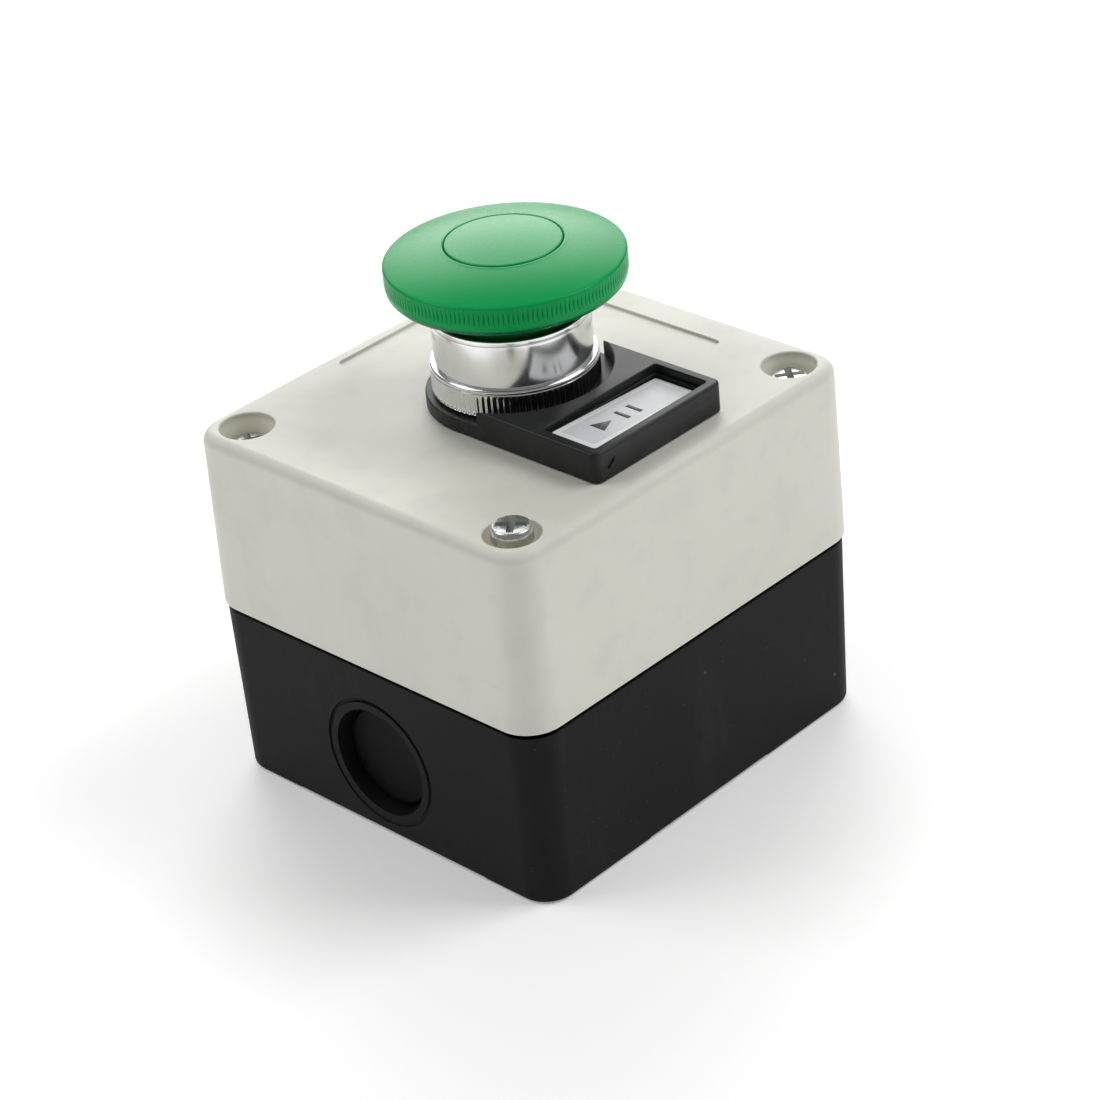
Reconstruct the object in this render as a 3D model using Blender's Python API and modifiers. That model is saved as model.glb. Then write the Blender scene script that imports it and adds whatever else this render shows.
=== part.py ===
"""Enclosed 22 mm push-button station: light grey lid on a black base box,
a green mushroom push-button in a bright bezel with a legend holder beside it,
and the spring, stem and contact block inside.

+Z is up, the origin is the middle of the box's underside, -Y is the legend
side and the cable knockouts are on the -X and +X sides.  Lengths below are in
millimetres and are turned into metres where a mesh is made.
"""
import math

import bmesh
import bpy
from mathutils import Matrix

MM = 0.001
GAP = 0.3                  # clearance between touching pieces

# Enclosure
BOX_W = 82.0               # along X, at the lid's lower edge
BOX_D = 76.0               # along Y
BOX_H = 66.0               # table to the top of the lid
SPLIT_Z = 33.4             # lower edge of the lid
CORNER_R = 6.5
DRAFT = 0.5                # how far a wall leans in from the split to its end
LID_OVERHANG = 0.4         # lid edge proud of the base wall
LID_WALL = 2.6
LID_TOP = 2.6
BASE_WALL = 2.6
FLOOR_Z = 3.2
FOOT_H = 0.7
FOOT_X = 15.4              # half the gap between feet along X
FOOT_Y = 22.4              # half the gap between feet along Y
TONGUE_H = 2.0
SCREW_X = 33.5
SCREW_Y = 30.4
COUNTERBORE_R = 4.8
COUNTERBORE_Z = 60.1
SCREW_SEAT = 60.4
SCREW_LOOSE = {"lid_screw_front_left": 4.6, "lid_screw_front_right": 1.2,
               "lid_screw_back_left": 0.4, "lid_screw_back_right": 0.0}
RECESS = (-9.2, 33.7, -15.6, 34.3)
RECESS_DEPTH = 0.55
KNOCKOUT_Z = 14.5
KNOCKOUT_R = 10.0
KNOCKOUT_DEPTH = 3.0
MOUNT_X = 28.0
MOUNT_Y = 18.0
SLOT_LENGTH = 9.6          # fixing slots, along X
SLOT_WIDTH = 4.6

# Push-button head, all on the Z axis
HEAD_HOLE_R = 11.25
SHANK_R = 10.8
SHANK_BORE_R = 8.0
SHANK_FOOT_Z = 46.0
SHANK_TOP_Z = BOX_H + 6.9
BEZEL_R = 14.1
BARREL_R = 13.3
BARREL_BORE_R = 12.6
BEZEL_TOP_Z = BOX_H + 16.6
CAP_R = 20.0
CAP_NECK_R = 12.1
CAP_FOOT_Z = BOX_H + 12.0
RIM_TOP_Z = BOX_H + 25.7
RIM_LOW_Z = BOX_H + 22.9
DISC_R = 9.6
DISC_TOP_Z = BOX_H + 29.2
STEM_R = 3.9
STEM_FOOT_Z = 46.8
FLANGE_Z = 67.0
TRAVEL = 4.3

# Legend holder
HOLDER_R = 15.3
HOLDER_Y = -31.8
PLATE_Z = BOX_H + 2.7
BLOCK_Z = BOX_H + 5.5
POCKET_R = 16.3
WINDOW = (-13.4, 13.5, -30.0, -18.8)

# Contact block
BLOCK_X = 17.0
BLOCK_Y = 6.5
BLOCK_LOW = 15.0
BLOCK_TOP = 41.6
TERMINAL_X = 13.1
BRIDGE_Z = 30.0
BRIDGE_TRAVEL = 0.6 * TRAVEL


def clear_scene():
    for obj in list(bpy.data.objects):
        bpy.data.objects.remove(obj, do_unlink=True)


def new_collection(name):
    col = bpy.data.collections.new(name)
    bpy.context.scene.collection.children.link(col)
    return col


clear_scene()
PARTS = new_collection("push_button_station")
CUTTERS = new_collection("cutters")


def material(name, colour, roughness, metallic=0.0):
    mat = bpy.data.materials.new(name)
    mat.use_nodes = True
    shader = mat.node_tree.nodes["Principled BSDF"]
    shader.inputs["Base Color"].default_value = (*colour, 1.0)
    shader.inputs["Roughness"].default_value = roughness
    shader.inputs["Metallic"].default_value = metallic
    mat.diffuse_color = (*colour, 1.0)
    return mat


LIGHT_GREY = material("light_grey_abs", (0.66, 0.65, 0.60), 0.45)
BLACK = material("black_abs", (0.018, 0.018, 0.018), 0.5)
GREEN = material("green_plastic", (0.0, 0.36, 0.09), 0.3)
HOLDER_BLACK = material("holder_black", (0.025, 0.026, 0.026), 0.45)
LABEL = material("legend_white", (0.62, 0.60, 0.63), 0.4)
CHROME = material("bright_chrome", (0.80, 0.80, 0.80), 0.08, 1.0)
ZINC = material("zinc_plated_steel", (0.55, 0.55, 0.53), 0.3, 1.0)
SPRING_STEEL = material("spring_steel", (0.45, 0.45, 0.45), 0.3, 1.0)
RUBBER = material("black_rubber", (0.02, 0.02, 0.02), 0.8)
GREY = material("grey_nylon", (0.20, 0.20, 0.21), 0.5)
BRASS = material("brass", (0.70, 0.48, 0.18), 0.3, 1.0)
SILVER = material("silver_alloy", (0.75, 0.74, 0.72), 0.25, 1.0)


def add_object(name, mesh, mat, collection):
    obj = bpy.data.objects.new(name, mesh)
    collection.objects.link(obj)
    if mat is not None:
        mesh.materials.append(mat)
    if collection is CUTTERS:
        obj.hide_render = True
        obj.display_type = "WIRE"
    return obj


def from_bmesh(name, bm, mat, collection):
    mesh = bpy.data.meshes.new(name)
    bmesh.ops.scale(bm, vec=(MM, MM, MM), verts=bm.verts)
    bm.to_mesh(mesh)
    bm.free()
    mesh.shade_smooth()
    mesh.set_sharp_from_angle(angle=math.radians(35))
    return add_object(name, mesh, mat, collection)


def level_edges(bm, z):
    """Edges whose two ends both lie at height z."""
    return [e for e in bm.edges if all(abs(v.co.z - z) < 1e-4 for v in e.verts)]


def block(name, x, y, z, mat=None, radius=0.0, top=0.0, low=0.0, lean_top=0.0,
          lean_low=0.0, steps=5, collection=None):
    """Box between pairs of limits, with round upright corners of the given
    radius, rounded top or lower edges, and walls that lean in."""
    bm = bmesh.new()
    bmesh.ops.create_cube(bm, size=1.0)
    span = (x[1] - x[0], y[1] - y[0], z[1] - z[0])
    mid = ((x[0] + x[1]) / 2, (y[0] + y[1]) / 2, (z[0] + z[1]) / 2)
    bmesh.ops.scale(bm, vec=span, verts=bm.verts)
    bmesh.ops.translate(bm, vec=mid, verts=bm.verts)
    if radius:
        upright = [e for e in bm.edges
                   if abs(e.verts[0].co.z - e.verts[1].co.z) > 1e-4]
        bmesh.ops.bevel(bm, geom=upright, offset=radius, segments=steps,
                        profile=0.5, affect="EDGES")
    for height, lean in ((z[1], lean_top), (z[0], lean_low)):
        for v in bm.verts:
            if lean and abs(v.co.z - height) < 1e-4:
                v.co.x += (mid[0] - v.co.x) * lean / (span[0] / 2)
                v.co.y += (mid[1] - v.co.y) * lean / (span[1] / 2)
    for height, width in ((z[1], top), (z[0], low)):
        if width:
            bmesh.ops.bevel(bm, geom=level_edges(bm, height), offset=width,
                            segments=3, profile=0.5, affect="EDGES")
    return from_bmesh(name, bm, mat, collection or (PARTS if mat else CUTTERS))


def rod(name, radius, low, high, mat=None, at=(0.0, 0.0), along="Z", sides=32,
        collection=None):
    """Plain cylinder between two positions along an axis."""
    bm = bmesh.new()
    bmesh.ops.create_cone(bm, cap_ends=True, segments=sides, radius1=radius,
                          radius2=radius, depth=high - low)
    bmesh.ops.translate(bm, vec=(0, 0, (low + high) / 2), verts=bm.verts)
    turn = {"Z": Matrix.Identity(3),
            "X": Matrix.Rotation(math.pi / 2, 3, "Y"),
            "Y": Matrix.Rotation(-math.pi / 2, 3, "X")}[along]
    bmesh.ops.rotate(bm, matrix=turn, verts=bm.verts)
    shift = {"Z": (at[0], at[1], 0), "X": (0, at[0], at[1]),
             "Y": (at[0], 0, at[1])}[along]
    bmesh.ops.translate(bm, vec=shift, verts=bm.verts)
    return from_bmesh(name, bm, mat, collection or (PARTS if mat else CUTTERS))


def turned(name, profile, mat=None, steps=48, loop=True, collection=None):
    """Solid of revolution about Z.  The profile's (radius, height) points run
    down the outside and back up the inside; loop closes them into a ring."""
    mesh = bpy.data.meshes.new(name)
    points = [(r * MM, 0.0, z * MM) for r, z in profile]
    edges = [(i, i + 1) for i in range(len(points) - 1)]
    if loop:
        edges.append((len(points) - 1, 0))
    mesh.from_pydata(points, edges, [])
    obj = add_object(name, mesh, mat, collection or (PARTS if mat else CUTTERS))
    screw = obj.modifiers.new("turn", "SCREW")
    screw.steps = steps
    screw.render_steps = steps
    screw.use_merge_vertices = True
    screw.merge_threshold = 0.00001
    screw.use_smooth_shade = True
    return obj


def bake(obj):
    """Replace an object's mesh by its evaluated one."""
    bpy.context.view_layer.update()
    graph = bpy.context.evaluated_depsgraph_get()
    mesh = bpy.data.meshes.new_from_object(obj.evaluated_get(graph))
    obj.modifiers.clear()
    obj.data = mesh
    mesh.shade_smooth()
    mesh.set_sharp_from_angle(angle=math.radians(35))
    return obj


def knurl(obj, steps, radius, depth, low, high, group=1):
    """Push alternate columns of a turned rim inward to make upright ribs."""
    bake(obj)
    for v in obj.data.vertices:
        r = math.hypot(v.co.x, v.co.y) / MM
        z = v.co.z / MM
        if r > radius - 0.05 and low - 0.01 < z < high + 0.01:
            column = round(math.atan2(v.co.y, v.co.x) / (2 * math.pi / steps))
            if (column // group) % 2:
                v.co.x *= (r - depth) / r
                v.co.y *= (r - depth) / r


def combine(obj, other, operation):
    mod = obj.modifiers.new(operation.lower(), "BOOLEAN")
    mod.operation = operation
    mod.solver = "EXACT"
    mod.object = other


def cut(obj, *tools):
    for tool in tools:
        combine(obj, tool, "DIFFERENCE")


def join(obj, *tools):
    for tool in tools:
        combine(obj, tool, "UNION")


def corners():
    for sx in (-1, 1):
        for sy in (-1, 1):
            yield sx, sy, sx * SCREW_X, sy * SCREW_Y


def half_box(inset):
    """X and Y limits of the enclosure outline moved in by inset."""
    w = BOX_W / 2 - inset
    d = BOX_D / 2 - inset
    return (-w, w), (-d, d)


# ---------------------------------------------------------------- enclosure

def knockout_cutter(side):
    """Blind round recess and the shallow ring groove about it."""
    face = BOX_W / 2 - LID_OVERHANG - 0.2
    recess = turned("cut_knockout", [
        (0.0, face + 2.0), (KNOCKOUT_R + 0.4, face + 2.0),
        (KNOCKOUT_R, face - 0.2), (KNOCKOUT_R - 0.5, face - KNOCKOUT_DEPTH),
        (KNOCKOUT_R - 0.9, face - KNOCKOUT_DEPTH),
        (KNOCKOUT_R - 1.4, face - KNOCKOUT_DEPTH + 0.5),
        (0.0, face - KNOCKOUT_DEPTH + 0.2)], steps=32, loop=False)
    groove = turned("cut_knockout_groove", [
        (12.3, face + 2.0), (12.3, face - 0.4), (11.4, face - 0.4),
        (11.4, face + 2.0)], steps=32)
    for tool in (recess, groove):
        tool.location = (0.0, 0.0, KNOCKOUT_Z * MM)
        tool.rotation_euler = (0.0, side * math.pi / 2, 0.0)
    return recess, groove


def slot(name, side, margin, z):
    """Round-ended bar over a fixing slot, wider all round by margin."""
    half_x = SLOT_LENGTH / 2 + margin
    half_y = SLOT_WIDTH / 2 + margin
    cx, cy = side * MOUNT_X, side * MOUNT_Y
    return block(name, (cx - half_x, cx + half_x), (cy - half_y, cy + half_y),
                 z, radius=half_y - 0.01, steps=6)


def base_shell():
    inset = LID_OVERHANG
    x, y = half_box(inset)
    base = block("base_shell", x, y, (0.0, SPLIT_Z - GAP), BLACK,
                 radius=CORNER_R - 0.2, low=0.8, lean_low=DRAFT, steps=6)
    x, y = half_box(inset + 1.3)
    tongue = block("join_tongue", x, y, (10.0, SPLIT_Z + TONGUE_H),
                   radius=CORNER_R - 1.5, steps=6)
    join(base, tongue)
    x, y = half_box(inset + BASE_WALL)
    cut(base, block("cut_base_room", x, y, (FLOOR_Z, 45.0),
                    radius=CORNER_R - BASE_WALL, steps=6))
    for sx, sy, cx, cy in corners():
        join(base, rod("join_base_tower", 5.2, 2.0, 31.5, at=(cx, cy), sides=20))
    for sx in (-1, 1):
        low, high = sorted((sx * 36.0, sx * 39.4))
        join(base, rod("join_knockout_pad", 12.8, low, high,
                       at=(0.0, KNOCKOUT_Z), along="X", sides=32))
        join(base, slot("join_mount_pad", sx, 2.1, (2.0, 4.8)))
    for sx, sy, cx, cy in corners():
        cut(base, rod("cut_base_bore", 1.9, 12.0, 40.0, at=(cx, cy), sides=12))
    for sx in (-1, 1):
        cut(base, *knockout_cutter(sx))
        cut(base, slot("cut_mount_slot", sx, 0.0, (-5.0, 10.0)))
    cut(base, block("cut_foot_gap_x", (-FOOT_X, FOOT_X), (-60, 60), (-5, FOOT_H)))
    cut(base, block("cut_foot_gap_y", (-60, 60), (-FOOT_Y, FOOT_Y), (-5, FOOT_H)))


def lid_shell():
    x, y = half_box(0.0)
    lid = block("lid_shell", x, y, (SPLIT_Z, BOX_H), LIGHT_GREY,
                radius=CORNER_R, top=1.6, lean_top=DRAFT, steps=6)
    x, y = half_box(LID_WALL)
    cut(lid, block("cut_lid_room", x, y, (20.0, BOX_H - LID_TOP),
                   radius=CORNER_R - LID_WALL, steps=6))
    x, y = half_box(1.3)
    cut(lid, block("cut_lid_rebate", x, y, (20.0, SPLIT_Z + 3.6),
                   radius=CORNER_R - 1.3, steps=6))
    for sx, sy, cx, cy in corners():
        join(lid, rod("join_lid_tower", 5.9, 37.0, 64.5, at=(cx, cy), sides=20))
        join(lid, rod("join_lid_post", 4.1, 32.0, 38.0, at=(cx, cy), sides=16))
    for sx, sy, cx, cy in corners():
        cut(lid, rod("cut_counterbore", COUNTERBORE_R, COUNTERBORE_Z, 80.0,
                     at=(cx, cy), sides=28))
        cut(lid, rod("cut_lid_bore", 2.1, 20.0, 62.0, at=(cx, cy), sides=12))
    cut(lid, rod("cut_head_hole", HEAD_HOLE_R, 50.0, 80.0, sides=36))
    recess = block("cut_recess", RECESS[:2], RECESS[2:],
                   (BOX_H - RECESS_DEPTH, 80.0), radius=1.0, steps=2)
    cut(recess, rod("keep_round", HOLDER_R - 0.7, 50.0, 90.0, sides=40),
        block("keep_front", (-14.6, 14.6), (-31.0, 0.0), (50.0, 90.0)),
        rod("keep_screw", 6.4, 50.0, 90.0, at=(SCREW_X, SCREW_Y), sides=32))
    cut(lid, recess)


def lid_seal():
    x, y = half_box(1.6)
    seal = block("lid_seal", x, y, (35.7, 36.7), RUBBER,
                 radius=CORNER_R - 1.6, steps=6)
    x, y = half_box(2.8)
    cut(seal, block("cut_seal", x, y, (30.0, 40.0),
                    radius=CORNER_R - 2.8, steps=6))


def cross_recess(obj, at, top, depth, reach):
    """Two crossed slots sunk in a screw head."""
    for turn in (0, 1):
        half = (reach, 0.45) if turn else (0.45, reach)
        x = (at[0] - half[0], at[0] + half[0])
        y = (at[1] - half[1], at[1] + half[1])
        cut(obj, block("cut_cross", x, y, (top - depth, top + 3.0)))


def lid_screw(name, cx, cy, seat):
    screw = turned(name, [
        (0.0, seat + 2.6), (1.9, seat + 2.55), (3.1, seat + 2.3),
        (3.45, seat + 1.6), (3.45, seat), (1.5, seat), (1.5, seat - 40.5),
        (0.0, seat - 42.0)], ZINC, steps=20, loop=False)
    bake(screw)
    screw.data.transform(Matrix.Translation((cx * MM, cy * MM, 0.0)))
    cross_recess(screw, (cx, cy), seat + 2.6, 1.6, 2.3)


def lid_screws():
    names = {(-1, -1): "lid_screw_front_left", (1, -1): "lid_screw_front_right",
             (-1, 1): "lid_screw_back_left", (1, 1): "lid_screw_back_right"}
    for sx, sy, cx, cy in corners():
        name = names[sx, sy]
        lid_screw(name, cx, cy, SCREW_SEAT + SCREW_LOOSE[name])


# ------------------------------------------------------------- button head

def dome(radius):
    """Height of the cap's face at a radius."""
    return DISC_TOP_Z - (DISC_TOP_Z - RIM_TOP_Z - 0.3) * (radius / 19.6) ** 2


def mushroom_cap():
    pocket = BOX_H + 24.9
    profile = [(1.65, pocket), (DISC_R + GAP, pocket),
               (DISC_R + GAP, dome(DISC_R + GAP) - 0.25)]
    profile += [(r, dome(r)) for r in (10.2, 13.6, 17.0, 19.6)]
    profile += [(CAP_R, RIM_TOP_Z - 0.1), (CAP_R, RIM_LOW_Z),
                (19.7, RIM_LOW_Z - 1.1), (18.8, RIM_LOW_Z - 2.0),
                (17.4, RIM_LOW_Z - 2.4), (15.4, RIM_LOW_Z - 2.2),
                (14.2, RIM_LOW_Z - 1.1), (CAP_NECK_R, RIM_LOW_Z - 1.1),
                (CAP_NECK_R, CAP_FOOT_Z), (10.9, CAP_FOOT_Z),
                (10.9, BOX_H + 20.4), (6.0, BOX_H + 20.4),
                (6.0, BOX_H + 14.0), (4.3, BOX_H + 14.0),
                (4.3, BOX_H + 23.3), (1.65, BOX_H + 23.3)]
    cap = turned("mushroom_cap", profile, GREEN, steps=72)
    knurl(cap, 72, CAP_R, 0.3, RIM_LOW_Z, RIM_TOP_Z)


def cap_disc():
    low = BOX_H + 25.3
    profile = [(r, dome(r)) for r in (0.0, 3.5, 6.5, DISC_R - 0.3)]
    profile += [(DISC_R, dome(DISC_R) - 0.25), (DISC_R, low), (4.0, low),
                (4.0, BOX_H + 27.2), (0.0, BOX_H + 27.2)]
    turned("cap_disc", profile, GREEN, steps=36, loop=False)


def cap_screw():
    seat = BOX_H + 25.2
    screw = turned("cap_screw", [
        (0.0, seat + 1.6), (1.8, seat + 1.5), (2.7, seat + 0.8), (2.7, seat),
        (1.2, seat), (1.2, 80.6), (0.0, 80.0)], ZINC, steps=16, loop=False)
    cross_recess(screw, (0.0, 0.0), seat + 1.6, 0.9, 1.4)


def plunger_stem():
    turned("plunger_stem", [
        (0.0, 78.0), (1.65, 78.0), (1.65, 89.0), (STEM_R, 89.0),
        (STEM_R, FLANGE_Z + 2.0), (7.6, FLANGE_Z + 2.0), (7.6, FLANGE_Z),
        (STEM_R, FLANGE_Z), (STEM_R, STEM_FOOT_Z + 1.0), (3.0, STEM_FOOT_Z),
        (0.0, STEM_FOOT_Z)], GREY, steps=24, loop=False)


def coil(name, radius, wire, low, high, turns, mat, points=14):
    """Round wire helix about Z, its outside between the two heights."""
    curve = bpy.data.curves.new(name, "CURVE")
    curve.dimensions = "3D"
    curve.bevel_depth = wire * MM
    curve.bevel_resolution = 2
    curve.use_fill_caps = True
    spline = curve.splines.new("POLY")
    count = int(turns * points)
    spline.points.add(count)
    for i in range(count + 1):
        t = i / count
        a = 2 * math.pi * turns * t
        z = low + wire + (high - low - 2 * wire) * t
        spline.points[i].co = (radius * math.cos(a) * MM,
                               radius * math.sin(a) * MM, z * MM, 1.0)
    curve.materials.append(mat)
    obj = bpy.data.objects.new(name, curve)
    PARTS.objects.link(obj)
    return obj


def bezel():
    ring = turned("bezel", [
        (BARREL_BORE_R + 0.3, BEZEL_TOP_Z), (BARREL_R - 0.3, BEZEL_TOP_Z),
        (BARREL_R, BEZEL_TOP_Z - 0.3), (BARREL_R, BOX_H + 8.3),
        (BEZEL_R, BOX_H + 7.5), (BEZEL_R, BOX_H + 3.4),
        (BEZEL_R - 0.4, BOX_H + 3.0), (11.2, BOX_H + 3.0),
        (11.2, BOX_H + 7.2), (BARREL_BORE_R, BOX_H + 7.2),
        (BARREL_BORE_R, BEZEL_TOP_Z - 0.3)], CHROME, steps=72)
    knurl(ring, 72, BEZEL_R, 0.25, BOX_H + 3.4, BOX_H + 7.4)


def head_body():
    turned("head_body", [
        (SHANK_BORE_R, SHANK_TOP_Z), (SHANK_R - 0.4, SHANK_TOP_Z),
        (SHANK_R, SHANK_TOP_Z - 0.4), (SHANK_R, SHANK_FOOT_Z + 0.6),
        (SHANK_R - 0.6, SHANK_FOOT_Z), (4.7, SHANK_FOOT_Z), (4.7, 48.5),
        (SHANK_BORE_R, 48.5)], HOLDER_BLACK, steps=32)


def stem_seal():
    low = BOX_H + 5.2
    turned("stem_seal", [
        (4.3, low + 1.3), (7.6, low + 1.3), (7.6, low), (4.3, low)],
        RUBBER, steps=24)


def head_gasket():
    turned("head_gasket", [
        (11.7, BOX_H + 1.1), (13.5, BOX_H + 1.1), (13.5, BOX_H + GAP),
        (11.7, BOX_H + GAP)], RUBBER, steps=32)


def fixing_nut():
    top = BOX_H - LID_TOP - GAP
    nut = turned("fixing_nut", [
        (11.2, top), (14.6, top), (14.9, top - 0.3), (14.9, top - 4.2),
        (14.6, top - 4.5), (11.2, top - 4.5)], GREY, steps=32)
    knurl(nut, 32, 14.9, 0.9, top - 4.4, top - 0.2, group=2)


# ----------------------------------------------------------- legend holder

def legend_holder():
    low = BOX_H + GAP
    edge = (-HOLDER_R, HOLDER_R)
    holder = block("legend_holder", edge, (HOLDER_Y, -2.0), (low, BLOCK_Z),
                   HOLDER_BLACK, radius=1.2, top=0.35, steps=3)
    cut(holder, rod("cut_round_pocket", POCKET_R, PLATE_Z, 90.0, sides=56))
    plate = turned("join_round_plate", [
        (0.0, PLATE_Z), (HOLDER_R - 0.3, PLATE_Z), (HOLDER_R, PLATE_Z - 0.3),
        (HOLDER_R, low), (0.0, low)], steps=48, loop=False)
    middle = block("join_middle", edge, (-6.0, -0.2), (low, PLATE_Z))
    pip = rod("join_pip", 0.9, HOLDER_Y - 0.25, HOLDER_Y + 0.6,
              at=(-11.6, BOX_H + 2.9), along="Y", sides=3)
    join(holder, plate, middle, pip)
    cut(holder, rod("cut_holder_hole", HEAD_HOLE_R, 50.0, 90.0, sides=36))
    cut(holder, rod("cut_gasket_room", 13.9, 60.0, BOX_H + 1.4, sides=36))
    x0, x1, y0, y1 = WINDOW
    cut(holder, block("cut_window", (x0, x1), (y0, y1), (BOX_H + 4.1, 80.0),
                      radius=0.5, steps=2))
    cut(holder, block("cut_window_floor", (x0 + 0.6, x1 - 0.6),
                      (y0 + 0.5, y1 - 0.5), (BOX_H + 1.9, 80.0),
                      radius=0.4, steps=2))
    x, y = (x0 + 0.9, x1 - 0.9), (y0 + 0.8, y1 - 0.8)
    block("legend_plate", x, y, (BOX_H + 2.2, BOX_H + 4.0), LABEL,
          radius=0.4, top=0.1, steps=2)


# ----------------------------------------------------------- contact block

def contact_carrier():
    carrier = block("contact_carrier", (-18.0, 18.0), (-13.5, 13.5),
                    (BLOCK_TOP + GAP, 51.0), GREY, radius=2.5, top=0.5, steps=3)
    cut(carrier, rod("cut_carrier", 11.2, 30.0, 60.0, sides=32))
    for sx in (-1, 1):
        x = sorted((sx * 14.6, sx * 17.0))
        cut(carrier, block("cut_hook_pocket", x, (-3.3, 3.3), (40.0, 46.7)))
        cut(carrier, rod("cut_clamp_bore", 1.3, -20.0, 8.0,
                         at=(sx * 14.0, 49.0), along="Y", sides=16))


def carrier_screws():
    for side, sx in (("left", -1), ("right", 1)):
        screw = rod("carrier_screw_" + side, 0.95, -14.5, 6.0, ZINC,
                    at=(sx * 14.0, 49.0), along="Y", sides=16)
        join(screw, rod("join_clamp_head", 1.9, -15.8, -13.9,
                        at=(sx * 14.0, 49.0), along="Y", sides=20))
        cut(screw, block("cut_clamp_slot",
                         (sx * 14.0 - 0.3, sx * 14.0 + 0.3),
                         (-17.0, -15.1), (46.0, 52.0)))


def contact_block_housing():
    housing = block("contact_block_housing", (-BLOCK_X, BLOCK_X),
                    (-BLOCK_Y, BLOCK_Y), (BLOCK_LOW, BLOCK_TOP), GREY)
    for sx in (-1, 1):
        x = sorted((sx * 15.1, sx * 16.5))
        join(housing, block("join_hook", x, (-3.0, 3.0), (38.0, 46.3)))
    cut(housing, block("cut_room", (-9.0, 9.0), (-20.0, 4.5), (17.5, 38.0)))
    cut(housing, block("cut_plunger_way", (-2.5, 2.5), (-3.0, 3.0), (36.0, 50.0)))
    for sx in (-1, 1):
        x = sorted((sx * 10.4, sx * 15.8))
        cut(housing, block("cut_terminal", x, (-20.0, 4.5), (0.0, 30.0)))
        x = sorted((sx * 8.5, sx * 11.0))
        cut(housing, block("cut_strip_way", x, (-20.0, 2.4), (25.6, 27.5)))


def contact_block_cover():
    block("contact_block_cover", (-BLOCK_X, BLOCK_X), (-8.3, -BLOCK_Y - GAP),
          (BLOCK_LOW, BLOCK_TOP), GREY, radius=0.5, top=0.3, low=0.3, steps=2)


def contact_plunger():
    plunger = block("contact_plunger", (-2.5, 2.5), (-3.5, 3.5), (27.0, 35.5), GREY)
    join(plunger, block("join_plunger_top", (-2.1, 2.1), (-2.6, 2.6), (34.0, 46.5)))
    cut(plunger, block("cut_bridge_slot", (-5.0, 5.0), (-1.9, 1.9),
                       (BRIDGE_Z - GAP, BRIDGE_Z + 0.8 + TRAVEL - BRIDGE_TRAVEL + 0.4)))


def contact_bridge():
    bridge = block("contact_bridge", (-7.7, 7.7), (-1.5, 1.5),
                   (BRIDGE_Z, BRIDGE_Z + 0.8), SILVER, radius=0.7, steps=2)
    for sx in (-1, 1):
        x = sorted((sx * 5.6, sx * 7.2))
        join(bridge, block("join_tip", x, (-1.0, 1.0), (BRIDGE_Z + 0.5, BRIDGE_Z + 1.1)))


def terminals():
    for side, sx in (("left", -1), ("right", 1)):
        cx = sx * TERMINAL_X
        x = sorted((sx * 5.4, sx * 14.9))
        strip = block("fixed_contact_" + side, x, (-2.0, 2.0), (26.0, 26.8), BRASS)
        join(strip, rod("join_button", 1.1, 26.5, 27.1, at=(sx * 6.6, 0.0), sides=16))
        cut(strip, rod("cut_strip_hole", 1.4, 20.0, 30.0, at=(cx, 0.0), sides=16))
        clamp = block("clamp_washer_" + side, (cx - 2.2, cx + 2.2), (-2.2, 2.2),
                      (21.1, 22.0), ZINC, radius=0.4, steps=2)
        cut(clamp, rod("cut_clamp_hole", 1.4, 15.0, 30.0, at=(cx, 0.0), sides=16))
        screw = rod("terminal_screw_" + side, 1.0, 20.0, 29.5, ZINC,
                    at=(cx, 0.0), sides=16)
        join(screw, rod("join_terminal_head", 2.2, 18.5, 20.7, at=(cx, 0.0), sides=24))
        cut(screw, block("cut_terminal_slot", (cx - 0.35, cx + 0.35), (-4.0, 4.0),
                         (16.0, 19.4)))


def build():
    base_shell()
    lid_shell()
    lid_seal()
    lid_screws()
    mushroom_cap()
    cap_disc()
    cap_screw()
    plunger_stem()
    coil("return_spring", 5.9, 0.45, 48.8, FLANGE_Z - GAP, 6.5, SPRING_STEEL)
    bezel()
    head_body()
    stem_seal()
    head_gasket()
    fixing_nut()
    legend_holder()
    contact_carrier()
    carrier_screws()
    contact_block_housing()
    contact_block_cover()
    contact_plunger()
    contact_bridge()
    coil("contact_spring", 1.9, 0.28, 17.8, 26.7, 5.0, SPRING_STEEL, points=10)
    terminals()


build()
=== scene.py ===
"""Looks of the enclosed push-button station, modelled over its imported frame.

Lengths in the piece makers are millimetres, heights are above the underside
of the base, and the push-button's axis is Z.
"""
import math

import bmesh
import bpy
from mathutils import Matrix, Vector


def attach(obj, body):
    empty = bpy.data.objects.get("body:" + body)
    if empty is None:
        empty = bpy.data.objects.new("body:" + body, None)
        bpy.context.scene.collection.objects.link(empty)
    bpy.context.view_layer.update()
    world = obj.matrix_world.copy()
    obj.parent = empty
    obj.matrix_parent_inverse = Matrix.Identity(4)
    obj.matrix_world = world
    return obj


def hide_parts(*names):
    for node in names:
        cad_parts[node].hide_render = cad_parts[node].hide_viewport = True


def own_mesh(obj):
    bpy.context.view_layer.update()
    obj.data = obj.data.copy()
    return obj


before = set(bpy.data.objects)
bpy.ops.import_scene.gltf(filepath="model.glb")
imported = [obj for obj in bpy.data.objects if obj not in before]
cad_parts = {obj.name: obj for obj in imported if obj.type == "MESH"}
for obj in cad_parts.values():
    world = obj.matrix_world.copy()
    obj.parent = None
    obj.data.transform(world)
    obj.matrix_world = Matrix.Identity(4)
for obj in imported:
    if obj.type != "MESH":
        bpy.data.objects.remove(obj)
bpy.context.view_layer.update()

MM = 0.001
BOX_W, BOX_D, LID_Z, SPLIT_Z = 82.0, 76.0, 66.0, 33.4
CORNER_R = 6.5
SCREW_X, SCREW_Y = 33.5, 30.4
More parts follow.
